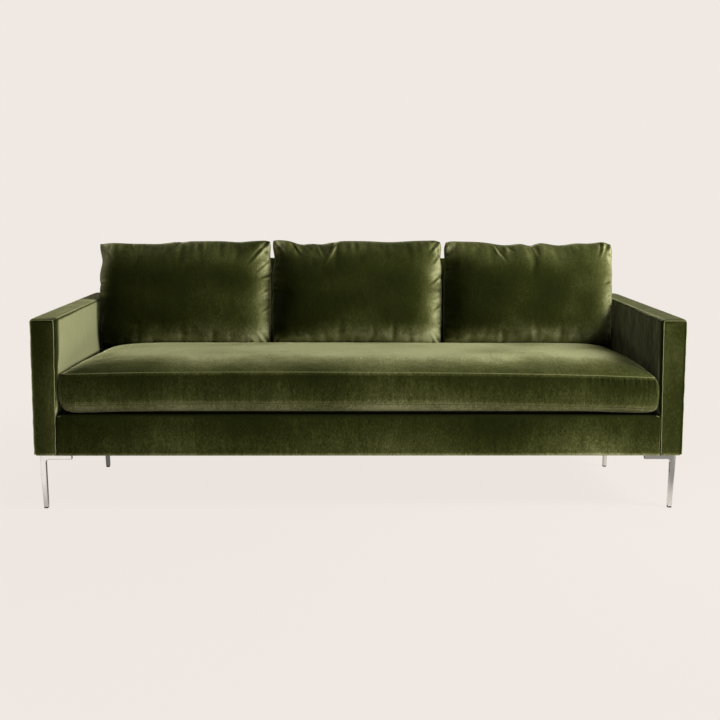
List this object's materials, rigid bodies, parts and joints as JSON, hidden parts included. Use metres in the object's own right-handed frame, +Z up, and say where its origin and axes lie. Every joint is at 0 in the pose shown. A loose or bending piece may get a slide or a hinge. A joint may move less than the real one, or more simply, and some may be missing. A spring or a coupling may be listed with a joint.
{
  "type": "tuxedo sofa",
  "caption": "Upholstered sofa with slim sloping arms, a bench seat cushion, loose back cushions and thin steel legs.",
  "frame": {"origin": "on the floor under the middle of the sofa's outline", "axes": "+X to the right as seen from the front, along the sofa's width; +Y to the rear; +Z up"},
  "size_m": [2.134, 0.914, 0.8805],
  "materials": {
    "velvet": "matte",
    "timber": "matte",
    "spring_steel": "satin",
    "leg_steel": "polished",
    "glide_rubber": "matte",
    "deck_cloth": "matte",
    "dust_cloth": "matte"
  },
  "bodies": {
    "frame": {"arm_cover_left": "velvet", "arm_top_rail_left": "timber", "arm_front_post_left": "timber", "arm_rear_post_left": "timber", "arm_base_rail_left": "timber", "arm_cover_right": "velvet", "arm_top_rail_right": "timber", "arm_front_post_right": "timber", "arm_rear_post_right": "timber", "arm_base_rail_right": "timber", "seat_front_rail": "timber", "seat_rear_rail": "timber", "seat_side_rail_left": "timber", "seat_stretcher_left": "timber", "corner_block_left": "timber", "rear_leg_block_left": "timber", "seat_side_rail_right": "timber", "seat_stretcher_right": "timber", "corner_block_right": "timber", "rear_leg_block_right": "timber", "front_spring_channel": "spring_steel", "rear_spring_channel": "spring_steel", "sinuous_spring_1": "spring_steel", "sinuous_spring_2": "spring_steel", "sinuous_spring_3": "spring_steel", "sinuous_spring_4": "spring_steel", "sinuous_spring_5": "spring_steel", "sinuous_spring_6": "spring_steel", "sinuous_spring_7": "spring_steel", "sinuous_spring_8": "spring_steel", "back_post_outer_left": "timber", "back_post_outer_right": "timber", "back_post_inner_left": "timber", "back_post_inner_right": "timber", "back_top_rail": "timber", "back_mid_rail": "timber", "seat_deck": "deck_cloth", "dust_cover": "dust_cloth", "front_rail_cover": "velvet", "back_cover": "velvet", "leg_front_left": "leg_steel", "glide_front_left": "glide_rubber", "leg_screw_front_left_1": "spring_steel", "leg_screw_front_left_2": "spring_steel", "leg_front_right": "leg_steel", "glide_front_right": "glide_rubber", "leg_screw_front_right_1": "spring_steel", "leg_screw_front_right_2": "spring_steel", "leg_rear_left": "leg_steel", "glide_rear_left": "glide_rubber", "leg_screw_rear_left_1": "spring_steel", "leg_screw_rear_left_2": "spring_steel", "leg_rear_right": "leg_steel", "glide_rear_right": "glide_rubber", "leg_screw_rear_right_1": "spring_steel", "leg_screw_rear_right_2": "spring_steel"},
    "seat_cushion": {"seat_cushion": "velvet"},
    "back_cushion_left": {"back_cushion_left": "velvet"},
    "back_cushion_centre": {"back_cushion_centre": "velvet"},
    "back_cushion_right": {"back_cushion_right": "velvet"}
  },
  "joints": [
    {"name": "seat_cushion_lift", "type": "slide", "parent": "frame", "child": "seat_cushion", "axis": [0, 0, 1], "range_m": [0, 0.35]},
    {"name": "back_cushion_left_lift", "type": "slide", "parent": "seat_cushion", "child": "back_cushion_left", "axis": [0, 0, 1], "range_m": [0, 0.42]},
    {"name": "back_cushion_centre_lift", "type": "slide", "parent": "seat_cushion", "child": "back_cushion_centre", "axis": [0, 0, 1], "range_m": [0, 0.42]},
    {"name": "back_cushion_right_lift", "type": "slide", "parent": "seat_cushion", "child": "back_cushion_right", "axis": [0, 0, 1], "range_m": [0, 0.42]}
  ]
}
